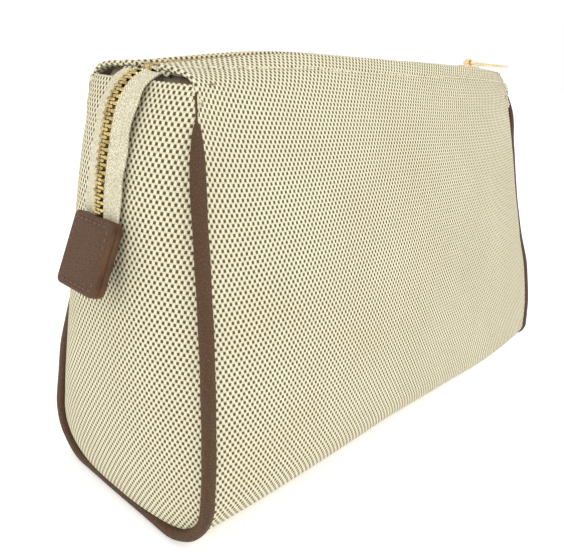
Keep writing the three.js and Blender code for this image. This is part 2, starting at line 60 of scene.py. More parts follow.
# ---- camera
camera = bpy.data.objects.new("camera", bpy.data.cameras.new("camera"))
scene.collection.objects.link(camera)
CAMERA_PLACE = Vector((-0.2440, -0.1605, 0.1642))
CAMERA_RIGHT = Vector((0.6653, -0.7423, 0.0793))
CAMERA_UP = Vector((0.2137, 0.2912, 0.9325))
CAMERA_AHEAD = Vector((0.7153, 0.6035, -0.3524))
turn = Matrix((CAMERA_RIGHT, CAMERA_UP, -CAMERA_AHEAD)).transposed()
camera.matrix_world = Matrix.Translation(CAMERA_PLACE) @ turn.to_4x4()
camera.data.lens, camera.data.sensor_width = 39.15, 36
camera.data.clip_start, camera.data.clip_end = 0.01, 20
scene.camera = camera


# ---- the bag's form, in millimetres
def table(rows):
    """A smooth curve through rows of (input, output)."""
    xs, ys = np.array(rows, float).T
    n = len(xs)
    after = np.minimum(np.arange(n) + 1, n - 1)
    before = np.maximum(np.arange(n) - 1, 0)
    slopes = (ys[after] - ys[before]) / (xs[after] - xs[before])

    def at(x):
        x = np.asarray(x, float)
        i = np.clip(np.searchsorted(xs, x, side="left") - 1, 0, n - 2)
        span = xs[i + 1] - xs[i]
        t = np.clip((x - xs[i]) / span, 0, 1)
        t2, t3 = t * t, t ** 3
        return ((2 * t3 - 3 * t2 + 1) * ys[i] + (t3 - 2 * t2 + t) * span * slopes[i]
                + (3 * t2 - 2 * t3) * ys[i + 1] + (t3 - t2) * span * slopes[i + 1])
    return at


def lerp(a, b, t):
    return a + (b - a) * t


def smooth(a, b, t):
    s = np.clip((t - a) / (b - a), 0, 1)
    return s * s * (3 - 2 * s)


# Half depths are by height, corner radii and the roof's top line by place along the bag, bulges by height.
half_left = table([(0, 46.5), (20, 45.5), (42, 43.2), (70, 39.3), (95, 34.8), (123, 29.3), (149.8, 25.3)])
half_right = table([(0, 47.5), (26.5, 44.6), (69, 33.5), (93, 26.1), (116, 20), (138.6, 13.1), (146, 9.2)])
top_line = table([(-135, 155), (-127, 155.6), (-81, 160), (-54, 161.2),
                  (18, 160.8), (88, 160.3), (128, 158.4), (136, 158)])
corner_r = table([(0, 22), (0.17, 23), (0.35, 21.5), (0.5, 18),
                  (0.65, 13.5), (0.76, 10.5), (0.87, 8.5), (1, 8)])
bulge_left = table([(0, 0.8), (5, 2.9), (12, 4.9), (22, 6.6), (40, 8.6),
                    (95, 10.7), (125, 9.7), (140, 7.0), (152, 2.7)])
bulge_right = table([(0, 0.6), (10, 2), (40, 4.5), (95, 5), (125, 4), (152, 1.5)])
END_X = 135  # the seams' distance from the middle, at the base
LEFT_LEAN, RIGHT_LEAN = 8, 5  # how far the seams lean in by the shoulder
SHOULDER_LEFT, SHOULDER_RIGHT = 149.8, 146  # heights where the wall becomes the roof
HEM_LEFT, HEM_NARROWER = 6.5, 1.5  # half the opening between the roof's hems, and how much it closes
MIDDLE_DEPTH, MIDDLE_TOP, MIDDLE_POWER = 50.5, 171, 2.3  # the middle section's half depth falls with height
ROOF_CORNER_IN = 9  # the roof's right corner is cut back by this much
BACK_LEFT_PROUD = 3.8
FRONT_ROUND_OVER = 2.4
RIPPLE_WAVES = 5


def left_x(z):
    return -END_X + LEFT_LEAN * z / SHOULDER_LEFT


def right_x(z):
    return END_X - RIGHT_LEAN * z / SHOULDER_RIGHT


def shoulder_z(u):
    return lerp(SHOULDER_LEFT, SHOULDER_RIGHT, u)


def hem_y(x):
    return HEM_LEFT - HEM_NARROWER * smooth(100, 125, x)


def half_depth(u, z):
    """From the bag's middle plane to its face; u is 0 at the left seam and 1 at the right one."""
    x = lerp(left_x(z), right_x(z), u)
    left = np.exp(-(x - left_x(z)) / 45)
    right_w = np.exp(-(right_x(z) - x) / 70)
    middle = MIDDLE_DEPTH * (1 - (np.maximum(z, 0) / MIDDLE_TOP) ** MIDDLE_POWER)
    return middle + left * (half_left(z) - middle) + right_w * (1 - left) * (half_right(z) - middle)


def end_lift(from_seam, z):
    """The base rises a little at its ends."""
    return 1.3 * np.exp(-np.maximum(from_seam, 0) / 12) * (1 - smooth(0, 22, z))


V_BASE, V_CORNER = 0.2, 0.5  # where the flat base and its round corner end, along the wrap


def wrap_section(u, v):
    """(half depth, height) of the wrap at station u; v is 0 at the base's middle and 1 at the shoulder."""
    r = corner_r(np.clip(u, 0, 1))
    angle = np.clip((v - V_BASE) / (V_CORNER - V_BASE), 0, 1) * math.pi / 2
    z_arc = r * (1 - np.cos(angle))
    z_wall = lerp(r, shoulder_z(u), np.clip((v - V_CORNER) / (1 - V_CORNER), 0, None))
    z = np.where(v <= V_BASE, 0, np.where(v <= V_CORNER, z_arc, z_wall))
    y_arc = half_depth(u, z) - r * (1 - np.sin(angle))
    y_base = (half_depth(u, 0 * z) - r) * v / V_BASE
    return np.where(v <= V_BASE, y_base, np.where(v <= V_CORNER, y_arc, half_depth(u, z))), z


def roof_section(u, q):
    """(half depth, height) of the roof at station u; q is 0 at the shoulder and 1 at the hem."""
    zs = shoulder_z(u) + 0 * q
    ys = half_depth(u, zs)
    x = lerp(left_x(zs), right_x(zs), u)
    yh, zh = hem_y(x), top_line(x)
    slope = (half_depth(u, zs) - half_depth(u, zs - 4)) / 4
    pitch = np.radians(lerp(50, 3, np.exp(-(x + 127) / 50)))
    handle = 0.36 * np.hypot(ys - yh, zh - zs)
    long = np.hypot(slope, 1)
    k = [(1 - q) ** 3, 3 * q * (1 - q) ** 2, 3 * q * q * (1 - q), q ** 3]
    ya = [ys, ys + handle * slope / long, yh + handle * np.cos(pitch), yh]
    za = [zs, zs + handle / long, zh - handle * np.sin(pitch), zh]
    return sum(a * b for a, b in zip(k, ya)), sum(a * b for a, b in zip(k, za))


def ripple(x, s, seed):
    """A few slow waves, as in cloth that has been handled, about -1 to 1."""
    total = 0
    for i in range(RIPPLE_WAVES):
        a, b, c = [math.sin(seed * 12.9 + i * k) for k in (3.7, 7.1, 11.3)]
        lengthwise = x * 0.032 * (1 + 0.9 * i * abs(a))
        upward = s * 0.045 * (0.6 + i * 0.7 * abs(b)) * (1 if a > 0 else -1)
        total = total + np.sin(lengthwise + upward + 6 * c) / (1 + i)
    return total / 2.2


def stand_proud(points):
    """Moves the top of the back's left corner out, which is not quite square with the front's."""
    points = np.array(points, float)
    x, y, z = points[..., 0], points[..., 1], points[..., 2]
    share = smooth(11, 25, y) * smooth(85, 150, z) * (1 - smooth(-130, -40, x))
    points[..., 1] += BACK_LEFT_PROUD * share
    return points


def body_surface(u, v, side):
    """Points of the front (side -1) or back (side 1) canvas. v is 0 to 1 up the wrap, then 2 at the hem."""
    yw, zw = wrap_section(u, np.minimum(v, 1))
    yr, zr = roof_section(u, np.clip(v - 1, 0, 1))
    on_roof = v > 1
    y, z = np.where(on_roof, yr, yw), np.where(on_roof, zr, zw)
    zx = np.minimum(z, shoulder_z(u))
    x = lerp(left_x(zx), right_x(zx) - ROOF_CORNER_IN * smooth(0.1, 1, v - 1) * u, u)
    z = z + end_lift(x - left_x(zx), z) + end_lift(right_x(zx) - x, z)
    if side < 0:  # the front panel rounds over at its right end, in front of the piping
        y = y - FRONT_ROUND_OVER * np.exp(-((right_x(zx) - x) / 5) ** 2) * smooth(45, 75, z) * (v <= 1)
    return stand_proud(np.stack([x, side * y, z], -1))


def normals(points):
    """Unit normals of a grid of points."""
    du = np.gradient(points, axis=0)
    dv = np.gradient(points, axis=1)
    n = np.cross(du, dv)
    return n / np.maximum(np.linalg.norm(n, axis=-1, keepdims=True), 1e-9)


def unit(a):
    return a / np.maximum(np.linalg.norm(a, axis=-1, keepdims=True), 1e-9)


# ---- mesh helpers
def make_object(name, verts, faces, uvs=None, face_material=None, flat=False):
    """An object from points in millimetres. uvs is one pair for each point, in millimetres."""
    mesh = bpy.data.meshes.new(name)
    places = [tuple(p) for p in np.asarray(verts) * MM]
    polygons = [tuple(int(i) for i in f) for f in faces]
    mesh.from_pydata(places, [], polygons)
    if uvs is not None:
        layer = mesh.uv_layers.new(name="UVMap")
        index = np.zeros(len(mesh.loops), np.int32)
        mesh.loops.foreach_get("vertex_index", index)
        layer.data.foreach_set("uv", np.asarray(uvs, np.float32)[index].ravel())
    if not flat:
        mesh.polygons.foreach_set("use_smooth", [True] * len(mesh.polygons))
    if face_material is not None:
        mesh.polygons.foreach_set("material_index", np.asarray(face_material, np.int32))
    mesh.update()
    obj = bpy.data.objects.new(name, mesh)
    scene.collection.objects.link(obj)
    return obj


def grid_faces(rows, cols, flip=False):
    """Quads between a grid's points, which are numbered row by row."""
    i, j = np.meshgrid(np.arange(rows - 1), np.arange(cols - 1), indexing="ij")
    a = (i * cols + j).ravel()
    quads = np.stack([a, a + cols, a + cols + 1, a + 1], -1)
    return quads[:, ::-1] if flip else quads


def grid_object(name, points, uvs, flip=False):
    rows, cols = points.shape[:2]
    return make_object(name, points.reshape(-1, 3), grid_faces(rows, cols, flip), uvs.reshape(-1, 2))


def arc_coordinates(points, axis):
    """Running length along one axis of a grid of points."""
    step = np.linalg.norm(np.diff(points, axis=axis), axis=-1)
    total = np.cumsum(step, axis=axis)
    pad = [(0, 0), (0, 0)]
    pad[axis] = (1, 0)
    return np.pad(total, pad)


def running_length(path):
    """Length along a line of points, 0 at its start."""
    return np.concatenate([[0], np.cumsum(np.linalg.norm(np.diff(path, axis=0), axis=1))])


def along(rows, run, s):
    """The row at length s, from rows that stand at the lengths in run."""
    return np.array([np.interp(s, run, column) for column in rows.T])


CURL_R = 0.85  # radius of a hem's turned edge
CURL_TURN = np.radians([30, 60, 90, 120, 150, 180])
CURL_FLAT = (2.0, 5.0)  # the hem then lies flat behind the edge
# how far each row past the edge lies out from it and in from the face
CURL = [(CURL_R * math.sin(t), CURL_R * (1 - math.cos(t))) for t in CURL_TURN]
CURL += [(-flat, 2 * CURL_R) for flat in CURL_FLAT]
CURL_LENGTHS = [CURL_R * t for t in CURL_TURN] + [CURL_R * math.pi + flat for flat in CURL_FLAT]


def curled(points, inward, edges):
    """Adds turned-under hems to the named edges of a grid: 'u0', 'u1', 'v0' or 'v1'.
    Returns the bigger grid and how far each point lies past the edge."""
    extra = np.zeros(points.shape[:2])
    for edge in edges:
        axis = 0 if edge[0] == "u" else 1
        last = edge[1] == "1"
        take = (lambda a, k: np.take(a, [(-1 - k) if last else k], axis=axis))
        rim, back, n = take(points, 0), take(points, 1), take(inward, 0)
        out = unit(rim - back)
        added = [rim + out * a + n * b for a, b in CURL]
        extras = [take(extra, 0) + length for length in CURL_LENGTHS]
        ns = [n for _ in CURL]
        points, inward, extra = [np.concatenate([grid, *more] if last else [*more[::-1], grid], axis)
                                 for grid, more in ((points, added), (inward, ns), (extra, extras))]
    return points, extra


def hemmed(points, inward, face_uv, edges):
    """A face with its hems turned under, and the uvs that run on round them."""
    points, extra = curled(points, inward, edges)
    k = len(CURL)
    low = k if "v0" in edges else 0
    uv = np.pad(face_uv, ((k, k), (low, k), (0, 0)), mode="edge")
    uv[:k, :, 0] -= extra[:k, low:low + 1]
    uv[-k:, :, 0] += extra[-k:, low:low + 1]
    uv[:, :low, 1] -= extra[k:k + 1, :low]
    uv[:, -k:, 1] += extra[k:k + 1, -k:]
    return points, uv


# ---- procedural materials
def math_node(kind):
    """A method that puts a value, and any others, through one math node."""
    return lambda self, *others: self.op(kind, *others)


class Expression:
    """A value in a material's node tree, with arithmetic."""

    def __init__(self, tree, socket):
        self.tree, self.socket = tree, socket

    def op(self, kind, *others):
        node = self.tree.nodes.new("ShaderNodeMath")
        node.operation = kind
        for i, value in enumerate([self, *others]):
            if isinstance(value, Expression):
                self.tree.links.new(value.socket, node.inputs[i])
            else:
                node.inputs[i].default_value = value
        return Expression(self.tree, node.outputs[0])

    __add__, __sub__ = math_node("ADD"), math_node("SUBTRACT")
    __mul__, __truediv__, power = math_node("MULTIPLY"), math_node("DIVIDE"), math_node("POWER")
    abs, floor, fract = math_node("ABSOLUTE"), math_node("FLOOR"), math_node("FRACT")
    sine, cosine = math_node("SINE"), math_node("COSINE")

    def __rsub__(self, other):
        return self.op("MULTIPLY", -1.0).op("ADD", other)

    def clip(self):
        return self.op("MAXIMUM", 0.0).op("MINIMUM", 1.0)

    def step(self, low, high):
        """0 below low, 1 above high, smooth between them."""
        node = self.tree.nodes.new("ShaderNodeMapRange")
        node.interpolation_type = "SMOOTHSTEP"
        self.tree.links.new(self.socket, node.inputs["Value"])
        node.inputs["From Min"].default_value, node.inputs["From Max"].default_value = low, high
        return Expression(self.tree, node.outputs["Result"])


class Look:
    """A Principled material under construction."""

    def __init__(self, name):
        self.material = bpy.data.materials.new(name)
        self.material.use_nodes = True
        self.tree = self.material.node_tree
        self.shader = self.tree.nodes["Principled BSDF"]

    def uv(self):
        """The surface's own coordinates, in millimetres."""
        node = self.tree.nodes.new("ShaderNodeUVMap")
        node.uv_map = "UVMap"
        split = self.tree.nodes.new("ShaderNodeSeparateXYZ")
        self.tree.links.new(node.outputs["UV"], split.inputs[0])
        return [Expression(self.tree, split.outputs[i]) for i in (0, 1)]

    def place(self):
        return self.tree.nodes.new("ShaderNodeTexCoord").outputs["Object"]

    def noise(self, scale, detail):
        node = self.tree.nodes.new("ShaderNodeTexNoise")
        node.inputs["Scale"].default_value = scale
        node.inputs["Detail"].default_value = detail
        self.tree.links.new(self.place(), node.inputs["Vector"])
        return Expression(self.tree, node.outputs["Fac"])

    def voronoi(self, scale, feature):
        node = self.tree.nodes.new("ShaderNodeTexVoronoi")
        node.feature = feature
        node.inputs["Scale"].default_value = scale
        self.tree.links.new(self.place(), node.inputs["Vector"])
        return Expression(self.tree, node.outputs["Distance"])

    def mix(self, a, b, factor):
        """Colour a, or b where factor is 1. a and b are colours or sockets."""
        node = self.tree.nodes.new("ShaderNodeMix")
        node.data_type = "RGBA"
        self.tree.links.new(factor.socket, node.inputs[0])
        for i, value in ((6, a), (7, b)):
            if isinstance(value, tuple):
                node.inputs[i].default_value = (*value, 1)
            else:
                self.tree.links.new(value, node.inputs[i])
        return node.outputs[2]

    def set(self, **values):
        for key, value in values.items():
            socket = self.shader.inputs[key.replace("_", " ")]
            if isinstance(value, Expression):
                self.tree.links.new(value.socket, socket)
            elif isinstance(value, bpy.types.NodeSocket):
                self.tree.links.new(value, socket)
            else:
                socket.default_value = (*value, 1) if isinstance(value, tuple) else value
        return self

    def bump(self, height, distance, strength=1.0):
        node = self.tree.nodes.new("ShaderNodeBump")
        node.inputs["Distance"].default_value = distance
        node.inputs["Strength"].default_value = strength
        self.tree.links.new(height.socket, node.inputs["Height"])
        self.tree.links.new(node.outputs["Normal"], self.shader.inputs["Normal"])
        return self


COLUMN, ROW = 1.09, 1.52  # pitch of the canvas's warp and weft, in millimetres


def canvas_look():
    """Plain weave: fat cream warp threads, with a small dark weft showing at every other crossing."""
    look = Look("canvas")
    u, v = look.uv()
    wander = (look.noise(60, 2) - 0.5) * 0.35
    cu, cv = u / COLUMN + wander, v / ROW + wander * 0.6
    parity = ((cu.floor() + cv.floor()) * 0.5).fract() * 2.0
    fu, fv = cu.fract() - 0.5, cv.fract() - 0.5
    ragged = (look.noise(2600, 2) - 0.5) * 1.1
    dot = (fu / 0.46).abs().power(3.0) + (fv / 0.37).abs().power(3.0) + ragged
    dark = (1.0 - dot.step(0.70, 1.25)) * parity
    across = 1.0 - (fu * 2.0).abs().power(2.5)
    arched = (fv * math.pi).cosine()
    rise = arched * (1.0 - parity) + (1.0 - arched) * parity
    groove = across.step(0.0, 0.5)
    fibre = look.noise(5200, 2)
    patch = look.noise(22, 3)
    cream = look.mix((0.76, 0.69, 0.475), (0.88, 0.82, 0.60), (patch * 0.35 + fibre * 0.65).step(0.35, 0.68))
    shaded = look.mix((0.40, 0.33, 0.19), cream, (groove * 0.55 + rise * 0.45 + 0.12).clip())
    colour = look.mix(shaded, (0.072, 0.055, 0.024), dark * 0.95)
    look.set(Base_Color=colour, Roughness=0.88, Specular_IOR_Level=0.25)
    look.set(Sheen_Weight=0.12, Sheen_Roughness=0.5)
    height = across * 0.35 + rise * 0.65 - dark * 0.9 + fibre * 0.12
    look.bump(height, 0.00042, 0.85)
    return look.material


def lining_look():
    """Plain brown cloth with fine threads."""
    look = Look("lining")
    u, v = look.uv()
    threads = (u * 9.0).sine() * (v * 9.0).sine()
    patch = look.noise(40, 3)
    paleness = (patch * 0.7 + threads * 0.15 + 0.1).clip()
    colour = look.mix((0.20, 0.150, 0.098), (0.30, 0.235, 0.16), paleness)
    look.set(Base_Color=colour, Roughness=0.8, Sheen_Weight=0.1)
    look.bump(threads * 0.5 + patch * 0.3, 0.00012)
    return look.material


def leather_look(name, dark, light, grain, rough=0.5):
    """Small-grained leather: rounded pebbles between fine creases."""
    look = Look(name)
    cells = look.voronoi(grain, "DISTANCE_TO_EDGE")
    crease = 1.0 - cells.step(0.0, 0.22)
    patch = look.noise(35, 4)
    fine = look.noise(3500, 2)
    face = look.mix(dark, light, (patch * 0.75 + fine * 0.35 - 0.05).clip())
    # painted shade: the creases between the pebbles are darkened toward a dimmer copy of the dark colour
    colour = look.mix(face, tuple(c * 0.55 for c in dark), crease * 0.55)
    roughness = patch * 0.18 + crease * 0.15 + rough - 0.1
    look.set(Base_Color=colour, Roughness=roughness, Specular_IOR_Level=0.3)
    look.bump(cells.step(0.0, 0.35) * 0.8 + fine * 0.2, 0.00022, 0.8)
    return look.material


def edge_look():
    """The sealed, painted edge of cut leather."""
    look = Look("leather_edge")
    patch = look.noise(160, 3)
    colour = look.mix((0.062, 0.026, 0.010), (0.105, 0.048, 0.020), patch.step(0.3, 0.7))
    look.set(Base_Color=colour, Roughness=0.55, Specular_IOR_Level=0.3)
    look.bump(patch, 0.0001)
    return look.material


def tape_look():
    """Herringbone tape: short twill ribs that change slant every couple of millimetres across."""
    look = Look("zip_tape")
    along, across = look.uv()
    band = (across / 2.6).fract() - 0.5
    rib = ((along + band.abs() * 3.4) / 1.0).fract() - 0.5
    ribs = 1.0 - (rib * 2.0).abs().power(2.0)
    turn_line = 1.0 - (band.abs() - 0.25).abs().step(0.0, 0.07) + (1.0 - band.abs().step(0.0, 0.06))
    fine = look.noise(1700, 2)
    shade = (ribs * 0.7 + 0.15 - turn_line.clip() * 0.15).clip()
    paleness = (shade * 0.62 + fine.step(0.33, 0.67) * 0.5).clip()
    colour = look.mix((0.42, 0.355, 0.21), (0.93, 0.87, 0.65), paleness)
    look.set(Base_Color=colour, Roughness=0.9, Sheen_Weight=0.15)
    look.bump(ribs * 0.7 + fine * 0.5 - turn_line.clip() * 0.3, 0.0004, 0.9)
    return look.material


def metal_look(name, dark, light, rough):
    """Brushed metal, a little uneven in colour."""
    look = Look(name)
    patch = look.noise(260, 3)
    fine = look.noise(2400, 3)
    colour = look.mix(dark, light, patch.step(0.3, 0.65))
    look.set(Base_Color=colour, Metallic=1.0, Roughness=(fine * 0.14 + patch * 0.1 + rough - 0.12))
    look.bump(fine, 0.00003, 0.6)
    return look.material


def thread_look(name, dark, light):
    look = Look(name)
    fine = look.noise(2500, 2)
    look.set(Base_Color=look.mix(dark, light, fine.step(0.3, 0.7)), Roughness=0.7, Sheen_Weight=0.1)
    look.bump(fine, 0.0001)
    return look.material


CANVAS = canvas_look()
LINING = lining_look()
LEATHER = leather_look("leather", (0.080, 0.036, 0.015), (0.122, 0.060, 0.027), grain=1300.0)
PIPING = leather_look("piping_leather", (0.068, 0.031, 0.011), (0.104, 0.051, 0.021),
                      grain=1100.0, rough=0.55)
EDGE = edge_look()
TAPE = tape_look()
BRASS = metal_look("brass", (0.33, 0.23, 0.07), (0.70, 0.54, 0.23), 0.26)
GOLD = metal_look("pale_gold", (0.80, 0.58, 0.30), (0.95, 0.76, 0.46), 0.25)
THREAD = thread_look("cream_thread", (0.60, 0.53, 0.36), (0.86, 0.80, 0.62))
BROWN_THREAD = thread_look("brown_thread", (0.12, 0.06, 0.028), (0.20, 0.11, 0.055))


def dress(obj, slot, *materials):
    for material in materials:
        obj.data.materials.append(material)
    return obj


def bend_with_flap(obj):
    """Cloth between the bag and one roof flap: bakes its placement into its mesh, without bending it with the
    flap.
    """
    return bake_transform(obj)


# ---- canvas shells, lining and roof
SIDES = (("front", -1), ("back", 1))
ENDS = (("left", -1, left_x), ("right", 1, right_x))
STATIONS = 230  # of the canvas, along the bag
PANEL_ROWS = np.concatenate([np.linspace(0, V_BASE, 8)[:-1], np.linspace(V_BASE, V_CORNER, 26)[:-1],
                             np.linspace(V_CORNER, 1, 90)[:-1], np.linspace(1, 2, 34)])
RIPPLE_DEPTH = 0.55
PUCKER_DEPTH = 0.9
HEM_RISE = 0.30  # two layers in the hem
STITCH_DENT = 0.35  # and the stitches pull in
STITCH_FROM_HEM = 6.5
STITCH_PITCH = 3.1
LINING_TOP = 1.86  # the lining ends here on the roof, short of the hem
THREAD_TURNS = [a / 6 * 2 * math.pi for a in range(6)]


def body_grid(side, us, vs):
    """Points and inward normals of one side's canvas."""
    uu, vv = np.meshgrid(us, vs, indexing="ij")
    points = body_surface(uu, vv, side)
    inward = normals(points)
    middle = np.array([0, 0, 80.0])
    if np.sum(inward * (middle - points)) < 0:
        inward = -inward
    return points, inward


def spaced(n, low, high, ends):
    """n values from low to high, closer together near both ends."""
    t = np.linspace(0, 1, n)
    t = lerp(t, 0.5 - 0.5 * np.cos(np.pi * t), ends)
    return lerp(low, high, t)


def settle_ends(points):
    """Moves a panel's end edges to the seams, a little under the piping and almost touching above it."""
    for end, row, seam in ((-1, 0, left_x), (1, -1, right_x)):
        z = points[row, :, 2]
        inset = lerp(1.3, 0.15, smooth(137, 143, z)) + CURL_R
        target = seam(np.minimum(z, SHOULDER_RIGHT)) - end * inset
        fade = np.exp(-np.abs(points[:, :, 0] - points[row, :, 0]) / 10)
        shift = (target - points[row, :, 0]) * (PANEL_ROWS < 1.02)
        points[:, :, 0] += fade * shift


def panel_push(x, length, from_hem, side):
    """How far a panel's face stands out from its plain form."""
    on_wall = smooth(6, 20, length) * smooth(0, 14, np.minimum(x + 134, 134 - x))
    push = RIPPLE_DEPTH * ripple(x, length, 1.0 + side) * on_wall * smooth(2, 20, from_hem)
    # puckers behind the left shoulder
    push -= PUCKER_DEPTH * np.exp(-((x + 108) / 16) ** 2) * np.exp(-((from_hem - 27) / 9) ** 2)
    push += HEM_RISE * (1 - smooth(STITCH_FROM_HEM - 0.5, STITCH_FROM_HEM + 0.6, from_hem))
    push -= STITCH_DENT * np.exp(-((from_hem - STITCH_FROM_HEM) / 0.45) ** 2)
    return push


def panel_face(side):
    """One panel's outer face: its points, inward normals, uvs and distances from the hem."""
    points, inward = body_grid(side, spaced(STATIONS, 0.0075, 0.9925, 0.6), PANEL_ROWS)
    settle_ends(points)
    length = arc_coordinates(points, 1)
    from_hem = length[:, -1:] - length
    uv = np.stack([points[:, :, 0], length], -1)
    push = panel_push(points[:, :, 0], length, from_hem, side)
    points = points - inward * push[..., None]
    inward = normals(points) * np.sign(np.sum(normals(points) * inward, -1, keepdims=True))
    return points, inward, uv, from_hem


def canvas_panel(name, side, points, inward, face_uv):
    points, uv = hemmed(points, inward, face_uv, ["v1", "u0", "u1"])
    canvas = grid_object(f"canvas_{name}", points, uv, flip=side > 0)
    dress(canvas, "canvas", CANVAS)
    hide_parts("body_wrap", f"roof_{name}")
    bend_with_flap(canvas)


def panel_lining(name, side, points, inward, face_uv):
    rows, cut = slice(3, -3), slice(0, int(np.searchsorted(PANEL_ROWS, LINING_TOP)))
    inner = points[rows, cut] + inward[rows, cut] * 2.3
    lining = grid_object(f"lining_{name}", inner[::2, ::2], face_uv[rows, cut][::2, ::2], flip=side > 0)
    dress(lining, "lining", LINING)
    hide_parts("lining_wrap", f"roof_lining_{name}")
    bend_with_flap(lining)


def add_thread(verts, faces, rings, flip=False):
    """Joins rings of points into one tube."""
    sides = len(THREAD_TURNS)
    for i in range(len(rings) - 1):
        near = len(verts) + i * sides
        far = near + sides
        for a in range(sides):
            b = (a + 1) % sides
            quad = (near + a, far + a, far + b, near + b)
            faces.append((quad[0], *quad[:0:-1]) if flip else quad)
    for ring in rings:
        verts.extend(ring)


def topstitching(name, points, inward, from_hem):
    """Thick cream stitches in a row beside the hem."""
    columns = np.array([np.argmin(np.abs(row - STITCH_FROM_HEM)) for row in from_hem])
    rows = np.arange(STATIONS)
    path = points[rows, columns] - inward[rows, columns] * 0.12
    out = -inward[rows, columns]
    run = running_length(path)
    verts, faces = [], []
    for s in np.arange(2.0, run[-1] - 4, STITCH_PITCH):
        ends = [along(path, run, s + d) for d in (0, 0.35, 1.2, 2.05, 2.4)]
        o = along(out, run, s + 1.2)
        b = np.cross(o, ends[-1] - ends[0])
        b /= np.linalg.norm(b)
        rings = []
        for e, r, lift in zip(ends, (0.06, 0.24, 0.30, 0.24, 0.06), (-0.1, 0.1, 0.17, 0.1, -0.1)):
            rings.append([e + o * (lift + r * math.sin(t)) + b * r * math.cos(t) for t in THREAD_TURNS])
        add_thread(verts, faces, rings)
    stitches = make_object(f"topstitch_{name}", verts, faces)
    dress(stitches, "canvas", THREAD)
    bend_with_flap(stitches)


for name, side in SIDES:
    points, inward, face_uv, from_hem = panel_face(side)
    canvas_panel(name, side, points, inward, face_uv)
    panel_lining(name, side, points, inward, face_uv)
    topstitching(name, points, inward, from_hem)

# ---- gussets
GUSSET_COLUMNS = 90
GUSSET_WEAVE = 1.12  # the gussets' weave is this much closer across
INSET_LOW, INSET_HIGH = 1.6 + CURL_R, 0.3 + CURL_R  # from the seam: beside the piping, and above its tips
RIM_ROUND = 3.4  # the rim's corners are rounded by this much
LINING_DROP = 2.0  # the lining's turned-in top lies this far under the roof


def gusset_face(end, seam, bulge, top):
    """One gusset's outer face: its points, inward normals and uvs."""
    u0 = (end + 1) / 2
    corner = float(corner_r(u0))
    angle = np.linspace(0, math.pi / 2, 26)
    r = corner - INSET_LOW
    z_low = corner - r * np.cos(angle)
    w_low = half_depth(u0, z_low) - corner + r * np.sin(angle)
    z_low = z_low + end_lift(0, z_low)
    z_high = np.linspace(z_low[-1], top - CURL_R, 90)[1:]
    over = np.clip((z_high - (top - 6)) / 6, 0, 1)
    inset = lerp(INSET_LOW, INSET_HIGH, smooth(136, 142, z_high))
    w_high = half_depth(u0, np.minimum(z_high, SHOULDER_RIGHT)) - inset - RIM_ROUND * over ** 2.2
    z, w = np.concatenate([z_low, z_high]), np.concatenate([w_low, w_high])
    aa, zz = np.meshgrid(spaced(GUSSET_COLUMNS, -1, 1, 0.5), z, indexing="ij")
    y = aa * w[None, :]
    fuller = np.where(aa > 0, 4.4, 2.4) if end < 0 else 2.2
    x = seam(zz) + end * bulge(zz) * (1 - np.abs(aa) ** fuller)
    x = x + end * 0.45 * ripple(y * 1.6, zz, 5.0 + end) * (1 - np.abs(aa) ** 3) * smooth(0, 30, zz)
    tilt = -0.02 * y * smooth(130, 150, zz) if end < 0 else 0  # the rim dips towards the back
    points = stand_proud(np.stack([x, y, zz + tilt], -1))
    inward = normals(points)
    inward = inward * np.sign(np.sum(inward[..., :1] * -end))
    across, upward = arc_coordinates(points, 0), arc_coordinates(points, 1)
    middle = GUSSET_COLUMNS // 2
    across = (across - across[middle - 1:middle + 1].mean(0)) * GUSSET_WEAVE
    uv = np.stack([across, np.broadcast_to(upward[middle:middle + 1], across.shape)], -1)
    return points, inward, uv


def gusset_canvas(name, end, points, inward, face_uv):
    points, uv = hemmed(points, inward, face_uv, ["v1", "v0", "u0", "u1"])
    gusset = grid_object(f"gusset_canvas_{name}", points, uv, flip=end < 0)
    dress(gusset, "canvas", CANVAS)
    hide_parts(f"gusset_{name}")
    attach(gusset, "bag")


def gusset_lining(name, end, points, inward, face_uv):
    """The lining inside a gusset. Its top turns in under the roof."""
    inner = points[2:-2:2, 2:-1:2] + inward[2:-2:2, 2:-1:2] * 2.4
    inner_uv = face_uv[2:-2:2, 2:-1:2]
    roof_y, roof_z = roof_section(np.full(40, (end + 1) / 2), np.linspace(0, 1, 40))
    rim = inner[:, -1]
    under_roof = np.interp(np.abs(rim[:, 1]), roof_y[::-1], roof_z[::-1]) - LINING_DROP
    target = np.where(np.abs(rim[:, 1]) < 7, 152.3 if end < 0 else 155.0, under_roof)
    for in_by, share in ((0.6, 0.2), (1.8, 0.4), (3.6, 0.6), (4.8, 1.0), (8.0, 1.0)):
        row = [rim[:, 0] - end * in_by, rim[:, 1] * (1 - 0.004 * in_by), lerp(rim[:, 2], target, share)]
        inner = np.concatenate([inner, np.stack(row, -1)[:, None]], 1)
        inner_uv = np.concatenate([inner_uv, inner_uv[:, -1:] + np.array([0, 2.0])], 1)
    lining = grid_object(f"gusset_lining_{name}", inner, inner_uv, flip=end < 0)
    dress(lining, "lining", LINING)
    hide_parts(f"lining_gusset_{name}")
    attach(lining, "bag")


for (name, end, seam), bulge, top in zip(ENDS, (bulge_left, bulge_right), (151.6, 153.5)):
    points, inward, face_uv = gusset_face(end, seam, bulge, top)
    gusset_canvas(name, end, points, inward, face_uv)
    gusset_lining(name, end, points, inward, face_uv)

# ---- leather piping
PIPING_R = 2.2
PIPING_TIP = 142.0  # height where it tapers away
TAPER = 0.045  # length of the taper, in v
RING = np.linspace(0, 2 * math.pi, 19)
SINE, COSINE = np.sin(RING), np.cos(RING)
SEAM_EDGE_AND_SHADE_R = 0.36


